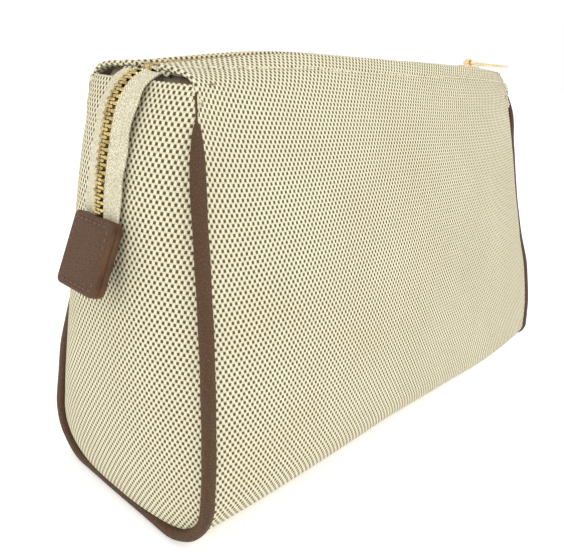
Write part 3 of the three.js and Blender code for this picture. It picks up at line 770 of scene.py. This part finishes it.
def piping_route(end, seam, tip_v):
    """The piping's v along its run, its middle line and its inward directions."""
    half = np.concatenate([tip_v - np.array([0, 0.003, 0.007, 0.012, 0.018, 0.026]),
                           np.linspace(tip_v - 0.034, V_CORNER, 50),
                           np.linspace(V_CORNER, V_BASE, 22)[1:], np.linspace(V_BASE, 0, 7)[1:]])
    v = np.concatenate([-half, half[::-1][1:]])
    y, z = wrap_section(np.full_like(v, (end + 1) / 2), np.abs(v))
    y_signed = np.sign(v) * y
    centre = stand_proud(np.stack([seam(z) + end * 0.2, y_signed, z + end_lift(0, z)], -1))
    tangent = unit(np.gradient(centre, axis=0))
    inward = unit(np.stack([0 * v, -tangent[:, 2], tangent[:, 1]], -1))
    # the canvas covers the left end's back run and the right end's front run, which stand further in
    covered = smooth(-10, 10, -end * y_signed) * smooth(45, 75, z)
    if end < 0:
        inset = 1.0 + 0.2 * covered - 0.8 * smooth(12, 40, z) * (1 - smooth(-10, 10, y_signed))
    else:
        inset = 1.0 + 2.4 * covered
    centre = centre + inward * (inset * (1 - 0.6 * smooth(120, 141, z)))[:, None]
    centre[:, 0] += -end * (2.6 if end < 0 else 0.6) * covered
    return v, centre, inward


def piping(name, v, tip_v, centre, inward):
    """Leather over a filler cord, a little squarer than round, tapering at both tips."""
    from_tip = (tip_v - np.abs(v)) / TAPER
    swell = 1 + 0.02 * np.sin(np.arange(len(v)) * 0.7)
    radius = PIPING_R * (0.10 + 0.90 * np.sqrt(np.clip(from_tip, 0, 1))) * swell
    square = 1 / (np.abs(SINE) ** 3 + np.abs(COSINE) ** 3) ** (1 / 3)
    points = (centre[:, None] + inward[:, None] * (radius[:, None] * SINE * square)[..., None] * 0.95
              + np.array([1.0, 0, 0]) * (radius[:, None] * COSINE * square)[..., None])
    uv = np.stack(np.broadcast_arrays(running_length(centre)[:, None], RING[None, :] * PIPING_R), -1)
    leather = grid_object(f"piping_{name}_leather", points, uv)
    dress(leather, "leather", PIPING)
    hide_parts(f"piping_{name}")
    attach(leather, "bag")


def seam_edge_and_shade(name, end, seam, side, tip_v):
    """A thin dark strip of leather in the seam above the piping's tip: partly the leather's edge, partly
    painted shade standing in for the seam's shadow.
    """
    v = np.linspace(tip_v - 0.02, 1.0, 14)
    y, z = wrap_section(np.full_like(v, (end + 1) / 2), v)
    line = stand_proud(np.stack([seam(z) - end * 0.2, side * (y - (0.6 if side < 0 else 1.1)), z], -1))
    thin = line[:, None] + SEAM_EDGE_AND_SHADE_R * np.stack([COSINE[::3], SINE[::3], 0 * SINE[::3]], -1)[None]
    cord = grid_object(f"seam_edge_and_shade_{name}", thin, np.zeros((*thin.shape[:2], 2)))
    dress(cord, "leather", PIPING)
    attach(cord, "bag")


for name, end, seam in ENDS:
    station = (end + 1) / 2
    corner = float(corner_r(station))
    tip_v = V_CORNER + (PIPING_TIP - corner) / (float(shoulder_z(station)) - corner) * (1 - V_CORNER)
    v, centre, inward = piping_route(end, seam, tip_v)
    for side_name, side in SIDES:
        seam_edge_and_shade(f"{name}_{side_name}", end, seam, side, tip_v)
    piping(name, v, tip_v, centre, inward)

# ---- the zip's line and its teeth
TEETH_DROP = 1.5  # from the roof's top line down to the chain's middle
PITCH = 2.3
CHAIN_FROM, CHAIN_TO = -126.2, 83.2
# The tail's teeth from the roof's left hem down to the tab, as x and z.
TAIL = np.array([(-127.8, 154.7), (-131.9, 152.4), (-134.7, 149.9), (-136.5, 147.3), (-138.3, 143.9),
                 (-139.5, 140), (-141.1, 132), (-142.4, 124), (-143.2, 117), (-143.4, 112), (-143.4, 110)])
# One tooth from its clamp to its head: y, half length along the chain, half height.
TOOTH = [(2.7, 0.34, 0.85), (2.5, 0.52, 1.15), (1.5, 0.54, 1.22), (1.05, 0.40, 1.10),
         (0.55, 0.40, 1.02), (0.15, 0.50, 1.12), (-0.55, 0.46, 1.05), (-0.85, 0.30, 0.75)]


def chain_z(x):
    return top_line(x) - TEETH_DROP


def fine_curve(points, n=400):
    """A smooth line through points in the x-z plane, evenly spaced."""
    t = np.concatenate([[0], np.cumsum(np.sqrt(np.linalg.norm(np.diff(points, axis=0), axis=1)))])
    rows = [table(np.stack([t, points[:, i]], -1)) for i in (0, 1)]
    s = np.linspace(0, t[-1], 3000)
    fine = np.stack([rows[0](s), rows[1](s)], -1)
    length = running_length(fine)
    even = np.linspace(0, length[-1], n)
    return even, np.stack([np.interp(even, length, fine[:, i]) for i in (0, 1)], -1)


tail_s, tail_line = fine_curve(TAIL)
TAIL_LENGTH = tail_s[-1]


def tail_place(s, y, h):
    """s along the tail, y across, h outwards from the chain's middle. Broadcasts."""
    s, y, h = np.broadcast_arrays(s, y, h)
    x, z = [np.interp(s, tail_s, tail_line[:, i]) for i in (0, 1)]
    grad = np.gradient(tail_line, tail_s, axis=0)
    tx, tz = [np.interp(s, tail_s, grad[:, i]) for i in (0, 1)]
    long = np.hypot(tx, tz)
    k = h - 1.2
    return np.stack([x + tz / long * k, y, z - tx / long * k], -1)


def roof_place(s, y, h):
    """s is x along the roof's chain, y across, h up from the chain's middle. Broadcasts."""
    s, y, h = np.broadcast_arrays(s, y, h)
    return np.stack([s, y, chain_z(s) + h], -1)


def teeth_object(name, starts, sides, place):
    """Brass teeth: a broad clamp on the tape's edge, a neck, and a head that reaches past the middle."""
    verts, faces = [], []
    for s, side in zip(starts, sides):
        first = len(verts)
        for y, hs, hh in TOOTH:
            c = 0.32 * hs
            outline = [(hs, hh - c), (hs - c, hh), (-hs + c, hh), (-hs, hh - c),
                       (-hs, -hh + c), (-hs + c, -hh), (hs - c, -hh), (hs, -hh + c)]
            ds, dh = np.array(outline).T
            verts.extend(place(s + ds, side * y, dh))
        last = first + (len(TOOTH) - 1) * 8
        for ring in range(first, last, 8):
            for a in range(8):
                b = (a + 1) % 8
                quad = (ring + a, ring + b, ring + 8 + b, ring + 8 + a)
                faces.append(quad if side < 0 else quad[::-1])
        clamp, head = range(first, first + 8), range(last, last + 8)
        faces.append(clamp if side > 0 else clamp[::-1])
        faces.append(head[::-1] if side > 0 else head)
    return dress(make_object(name, verts, faces, flat=True), "teeth_brass", BRASS)


# ---- the zip along the roof
TAPE_ROWS = np.array([1.55, 1.7, 1.85, 2.0])  # beneath the roof, from well under the hem to its edge
# then in to the chain and round the bead on the tape's edge, as y and height above the chain's middle
TAPE_BEAD = ((4.6, 0.05), (3.4, 0.28), (2.9, 0.75), (2.2, 0.8), (1.9, 0.3), (2.0, -0.5))


def roof_teeth(name, side):
    offset = 0.5 if side < 0 else 0.5 + PITCH / 2
    starts = np.arange(CHAIN_FROM + 0.6 + offset, CHAIN_TO, PITCH)
    teeth = teeth_object(f"teeth_{name}", starts, [side] * len(starts), roof_place)
    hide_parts(f"zip_teeth_{name}")
    bend_with_flap(teeth)


def roof_tape(name, side):
    points, inward = body_grid(side, np.linspace(0.004, 0.985, 150), TAPE_ROWS)
    under = points + inward * 2.0
    x = under[:, -1, 0]
    bead = [np.stack([x, side * np.full_like(x, y), chain_z(x) + h], -1) for y, h in TAPE_BEAD]
    grid = np.concatenate([under, np.stack(bead, 1)], 1)
    uv = np.stack([grid[..., 0], arc_coordinates(grid, 1)], -1)
    tape = grid_object(f"tape_{name}", grid, uv, flip=side > 0)
    dress(tape, "zip_tape", TAPE)
    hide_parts(f"zip_tape_{name}")
    bend_with_flap(tape)


for name, side in SIDES:
    roof_teeth(name, side)
    roof_tape(name, side)
    stop = frame["nodes"][f"top_stop_{name}"]
    stop.data.materials.clear()
    stop.data.materials.append(BRASS)

# ---- the tail over the left end
TAPE_INNER = 2.9
TAPE_SPAN = 7.6  # of TAIL_Y, from TAPE_INNER out to the tape's edge
TAIL_Y = np.array([1.9, 2.2, 2.9, 3.6, 4.6, 6.0, 7.5, 9.0, 10.0, 10.5, 10.6])
TAIL_H = np.array([0.2, 0.75, 0.70, 0.30, 0.12, 0.02, 0.0, 0.0, 0.03, 0.0, -0.35])
TAB_TILT = math.radians(19.5)
TAB_DOWN = np.array([-math.sin(TAB_TILT), 0, -math.cos(TAB_TILT)])
TAB_OUT = np.array([-math.cos(TAB_TILT), 0, math.sin(TAB_TILT)])
TAB_TOP = np.array([-144.8, 0, 111.2])


def tail_teeth():
    starts, sides = [], []
    for side in (-1, 1):
        s = np.arange(0.6 + 0.5 + (0 if side < 0 else PITCH / 2), TAIL_LENGTH - 0.9, PITCH)
        starts.extend(s)
        sides.extend([side] * len(s))
    teeth = teeth_object("tail_teeth", starts, sides, tail_place)
    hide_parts("tail_teeth_front", "tail_teeth_back")
    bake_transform(teeth)


def tail_sheet(side, face):
    """One face (1 outer, -1 inner) of one half of the tail's tape, down to its end inside the tab."""
    ss, yy = np.meshgrid(np.linspace(-0.6, TAIL_LENGTH, 120), TAIL_Y, indexing="ij")
    edge = lerp(8.5, 8.0, smooth(0, 30, ss)) if side < 0 else lerp(8.6, 9.4, smooth(8, 34, ss))
    wide = (edge - TAPE_INNER) / TAPE_SPAN
    from_bead = yy - TAPE_INNER
    firmer = 1 - 0.5 * smooth(34, TAIL_LENGTH, ss)
    droop = -0.17 * from_bead * smooth(1, 16, ss) * firmer * (yy > TAPE_INNER)
    droop = droop + 0.25 * np.sin(ss * 0.42 + side) * smooth(6, 11, yy) * smooth(2, 10, ss)
    height = np.broadcast_to(TAIL_H, ss.shape) * (1 if face > 0 else 0.3) - (0 if face > 0 else 0.55)
    y = side * (TAPE_INNER + from_bead * wide)
    grid = tail_place(np.clip(ss, 0, TAIL_LENGTH), y, height + droop)
    grid[:, :, 0] += np.where(ss < 0, -ss, 0)
    tucked = []
    for down in (1.0, 3.0, 9.0):
        middle = TAB_TOP + TAB_DOWN * down + TAB_OUT * (-2.45 + 0.15 * face)
        across = np.stack([0 * TAIL_Y, side * np.minimum(TAIL_Y, 7.9), 0 * TAIL_Y], -1)
        tucked.append(middle[None, :] + across)
    return np.concatenate([grid, np.stack(tucked, 0)], 0)


def tail_tape():
    verts, faces, uvs = [], [], []
    for side in (-1, 1):
        for face in (1, -1):
            grid = tail_sheet(side, face)
            first = sum(len(v) for v in verts)
            verts.append(grid.reshape(-1, 3))
            faces.append(grid_faces(*grid.shape[:2], flip=(side > 0) == (face > 0)) + first)
            across = np.broadcast_to(TAIL_Y, grid.shape[:2])
            uvs.append(np.stack([arc_coordinates(grid, 0), across], -1).reshape(-1, 2))
    tape = make_object("tail_tape", np.concatenate(verts), np.concatenate(faces), np.concatenate(uvs))
    dress(tape, "zip_tape", TAPE)
    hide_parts("tail_tape_front", "tail_tape_back")
    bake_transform(tape)


tail_teeth()
tail_tape()

# ---- leather tab
TAB_WIDTH, TAB_HEIGHT, TAB_CORNER = 21, 24, 2.6
TAB_STITCH_IN = 2.0
TAB_STITCH_PITCH = 2.35
# The two layers, as rings of (inset, outward height, material: 0 leather or 1 painted edge).
OUTER_LAYER = [(7.5, 0.02, 0), (4.5, 0.02, 0), (2.6, 0.03, 0), (2.0, -0.10, 0),
               (1.4, 0.02, 0), (0.7, -0.04, 0), (0.3, -0.22, 0), (0.08, -0.5, 1),
               (0.0, -0.9, 1), (0.03, -1.55, 1), (0.14, -1.86, 1), (0.5, -1.95, 1)]
INNER_LAYER = [(0.5, -1.97, 1), (0.12, -2.06, 1), (0.0, -2.4, 1), (0.02, -3.6, 1),
               (0.2, -4.1, 1), (0.6, -4.4, 0), (1.4, -4.5, 0), (5.0, -4.5, 0)]


def rounded_outline(width, height, radius, n=10):
    """Points round a rectangle with rounded corners, y across from -width/2, d down from 0."""
    points = []
    for cy, cd, a0 in ((width / 2 - radius, radius, -90), (width / 2 - radius, height - radius, 0),
                       (-width / 2 + radius, height - radius, 90), (-width / 2 + radius, radius, 180)):
        for a in np.radians(np.linspace(a0, a0 + 90, n)):
            points.append((cy + radius * math.cos(a), cd + radius * math.sin(a)))
    return np.array(points)


def tab_bow(y, d):
    """How far the tab's face stands out, y across and d down it."""
    half_width, half_height = TAB_WIDTH / 2, TAB_HEIGHT / 2
    bow = -0.55 * (y / half_width) ** 2 + 0.5 * ((d - half_height) / half_height) ** 2
    return bow + 0.12 * math.sin(d * 0.5 + y * 0.3)


def tab_layer(name, profile, replaced):
    """A layer of the tab through the rings of its profile."""
    rings = []
    for inset, height, material in profile:
        radius = max(0.4, TAB_CORNER - inset)
        outline = rounded_outline(TAB_WIDTH - 2 * inset, TAB_HEIGHT - 2 * inset, radius)
        outline[:, 1] += inset
        rings.append((outline, height, material))
    verts, faces, mats = [], [], []
    for outline, height, _ in rings:
        for y, d in outline:
            verts.append(TAB_TOP + np.array([0, y, 0]) + TAB_DOWN * d + TAB_OUT * (height + tab_bow(y, d)))
    n = len(rings[0][0])
    for i in range(len(rings) - 1):
        for a in range(n):
            b = (a + 1) % n
            faces.append((i * n + a, i * n + b, (i + 1) * n + b, (i + 1) * n + a))
            mats.append(rings[i + 1][2])
    faces.append(tuple(range(n - 1, -1, -1)))
    mats.append(rings[0][2])
    faces.append(tuple(range((len(rings) - 1) * n, len(rings) * n)))
    mats.append(rings[-1][2])
    layer = make_object(name, verts, faces, face_material=mats)
    dress(layer, "leather", LEATHER, EDGE)
    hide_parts(replaced)
    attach(layer, "tail")


def tab_stitching():
    """Small brown stitches round the tab's outer face."""
    outline = rounded_outline(TAB_WIDTH - 2 * TAB_STITCH_IN, TAB_HEIGHT - 2 * TAB_STITCH_IN, 1.2, 6)
    outline[:, 1] += TAB_STITCH_IN
    closed = np.concatenate([outline, outline[:1]])
    run = running_length(closed)
    verts, faces = [], []
    for s in np.arange(0.4, run[-1] - 1, TAB_STITCH_PITCH):
        ends = [along(closed, run, s + d) for d in (0, 0.25, 0.8, 1.35, 1.6)]
        direction = ends[-1] - ends[0]
        direction /= np.linalg.norm(direction)
        cross = np.array([-direction[1], direction[0]])
        rings = []
        for middle, r, lift in zip(ends, (0.05, 0.17, 0.2, 0.17, 0.05), (-0.14, -0.02, 0.03, -0.02, -0.14)):
            bow = tab_bow(*middle)
            ring = []
            for t in THREAD_TURNS:
                y, d = middle + cross * r * math.cos(t)
                out = bow + lift + r * math.sin(t) - 0.02
                ring.append(TAB_TOP + np.array([0, y, 0]) + TAB_DOWN * d + TAB_OUT * out)
            rings.append(ring)
        add_thread(verts, faces, rings, flip=True)
    stitches = make_object("tab_stitches", verts, faces)
    dress(stitches, "leather", BROWN_THREAD)
    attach(stitches, "tail")


tab_layer("tab_outer_leather", OUTER_LAYER, "tab_outer")
tab_layer("tab_inner_leather", INNER_LAYER, "tab_inner")
tab_stitching()


# ---- slider and pull
PLATE_T, PLATE_BEVEL = 1.1, 0.28
TOP_PLATE_Z, LOW_PLATE_Z, POST_Z = 0.55, -3.55, -1.5  # middles, from the roof's top line at the slider
SLIDER_HALF_LENGTH = 5.5
PULL_LENGTH, PULL_HALF_WIDTH, PULL_T = 34, 3.4, 1.4
PULL_YAW, PULL_DROP = math.radians(-10), math.radians(1)


def flat_metal(name, outlines, thickness, bevel, matrix):
    """A flat piece from outlines (the first is its edge, the rest are holes), with rounded edges."""
    curve = bpy.data.curves.new(name, "CURVE")
    curve.dimensions, curve.fill_mode = "2D", "BOTH"
    curve.extrude, curve.bevel_depth, curve.bevel_resolution = thickness / 2 - bevel, bevel, 3
    curve.offset = -bevel
    for outline in outlines:
        spline = curve.splines.new("POLY")
        spline.points.add(len(outline) - 1)
        for p, (x, y) in zip(spline.points, outline):
            p.co = (x, y, 0, 1)
        spline.use_cyclic_u = True
    temporary = bpy.data.objects.new(name + "_curve", curve)
    scene.collection.objects.link(temporary)
    bpy.context.view_layer.update()
    mesh = bpy.data.meshes.new_from_object(temporary.evaluated_get(bpy.context.evaluated_depsgraph_get()))
    bpy.data.objects.remove(temporary)
    obj = bpy.data.objects.new(name, mesh)
    mesh.name = name
    mesh.transform(Matrix.Scale(MM, 4) @ matrix)
    mesh.materials.clear()
    mesh.materials.append(GOLD)
    scene.collection.objects.link(obj)
    return obj


def chamfered(x0, x1, w, c, n=5):
    """A rectangle's outline with round corners, from x0 to x1 and w to each side."""
    c = min(c, w * 0.98)
    points = []
    for cx, cy, a0 in ((x1 - c, w - c, 0), (x0 + c, w - c, 90), (x0 + c, -w + c, 180), (x1 - c, -w + c, 270)):
        for a in np.radians(np.linspace(a0, a0 + 90, n)):
            points.append((cx + c * math.cos(a), cy + c * math.sin(a)))
    return points


def wing_outline():
    """A slider plate: narrow where the closed chain leaves, broad where the two rows come in."""
    wing = []
    for t in np.linspace(0, 1, 24):
        broad = 3.4 + 1.3 * math.sin(min(1, t * 1.15) * math.pi / 2) ** 1.5
        half = broad - 2.2 * max(0, (t - 0.86) / 0.14) ** 2 - 1.4 * max(0, (0.10 - t) / 0.10) ** 2
        wing.append((lerp(-SLIDER_HALF_LENGTH, SLIDER_HALF_LENGTH, t), half))
    return wing + [(x, -y) for x, y in reversed(wing)]


def bridge_line(half_length, foot, rise, turns):
    """The bridge's outer or inner line, a flattened arch."""
    xs = [half_length * math.copysign(abs(math.cos(t)) ** 0.6, math.cos(t)) for t in turns]
    ys = [foot + rise * math.sin(t) ** 0.7 for t in turns]
    return list(zip(xs, ys))


def slider():
    low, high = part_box("slider_body")
    x = (low.x + high.x) / 2 / MM
    z = float(top_line(x))
    wings = [wing_outline()]
    levels = (TOP_PLATE_Z, LOW_PLATE_Z, POST_Z)
    at_top, at_bottom, at_post = [Matrix.Translation((x, 0, z + level)) for level in levels]
    top_plate = flat_metal("slider_top_plate", wings, PLATE_T, PLATE_BEVEL, at_top)
    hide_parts("slider_body")
    low_plate = flat_metal("slider_low_plate", wings, PLATE_T, PLATE_BEVEL, at_bottom)
    post = flat_metal("slider_post", [chamfered(3, 5, 1.0, 0.5)], 4.2, 0.1, at_post)
    outer = bridge_line(3.5, 1.2, 3.4, np.linspace(0, math.pi, 25))
    inner = bridge_line(2.6, 1.1, 2.6, np.linspace(math.pi, 0, 25))
    arch = [(3.5, 0.8), *outer, (-3.5, 0.8), (-2.6, 0.8), *inner, (2.6, 0.8)]
    upright = Matrix.Translation((x, 0, z)) @ Matrix.Rotation(math.pi / 2, 4, "X")
    bridge = flat_metal("slider_bridge", [arch], 1.6, 0.22, upright)
    for piece in (top_plate, low_plate, post, bridge):
        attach(piece, "slider")


def pull():
    """A flat bar with an eye at the bridge and a round-ended hole near its tip."""
    joint = next(j for j in frame["joints"] if j["name"] == "pull_lift")
    pivot = Vector(joint["pos_m"]) / MM
    outlines = [chamfered(-0.7, PULL_LENGTH, PULL_HALF_WIDTH, 1.3), chamfered(0.7, 6.2, 2.0, 0.9),
                chamfered(26.5, 31.5, 1.1, 1.0)]
    turned = Matrix.Rotation(PULL_YAW, 4, "Z") @ Matrix.Rotation(PULL_DROP, 4, "Y")
    bar = flat_metal("pull_bar", outlines, PULL_T, 0.3, Matrix.Translation(pivot) @ turned)
    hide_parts("zip_pull")
    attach(bar, "pull")


slider()
pull()

# ---- floor, light
FLOOR = 4  # half its width, in metres
floor_mesh = bpy.data.meshes.new("floor")
corners = [(x * FLOOR, y * FLOOR, 0) for x, y in ((-1, -1), (1, -1), (1, 1), (-1, 1))]
floor_mesh.from_pydata(corners, [], [(0, 1, 2, 3)])
floor = bpy.data.objects.new("floor", floor_mesh)
scene.collection.objects.link(floor)
floor_look = Look("floor").set(Base_Color=(0.93, 0.93, 0.925), Roughness=0.9)
floor_look.set(Emission_Color=(1.0, 1.0, 1.0), Emission_Strength=0.30)
floor.data.materials.append(floor_look.material)

world = bpy.data.worlds.new("world")
scene.world = world
world.use_nodes = True
world.node_tree.nodes["Background"].inputs["Color"].default_value = (1, 1, 1, 1)
world.node_tree.nodes["Background"].inputs["Strength"].default_value = 1.0


def area_light(name, place, target, power):
    """A square light of 0.9 m, pointed at target."""
    light = bpy.data.lights.new(name, "AREA")
    light.shape, light.size, light.size_y = "RECTANGLE", 0.9, 0.9
    light.energy, light.color = power, (1, 1, 1)
    obj = bpy.data.objects.new(name, light)
    obj.location = place
    obj.rotation_euler = (Vector(target) - Vector(place)).to_track_quat("-Z", "Y").to_euler()
    scene.collection.objects.link(obj)


area_light("key", (0.35, -1.2, 1.25), (0, 0, 0.08), 8)
area_light("fill", (-1.3, -0.15, 0.75), (-0.13, 0, 0.08), 4)
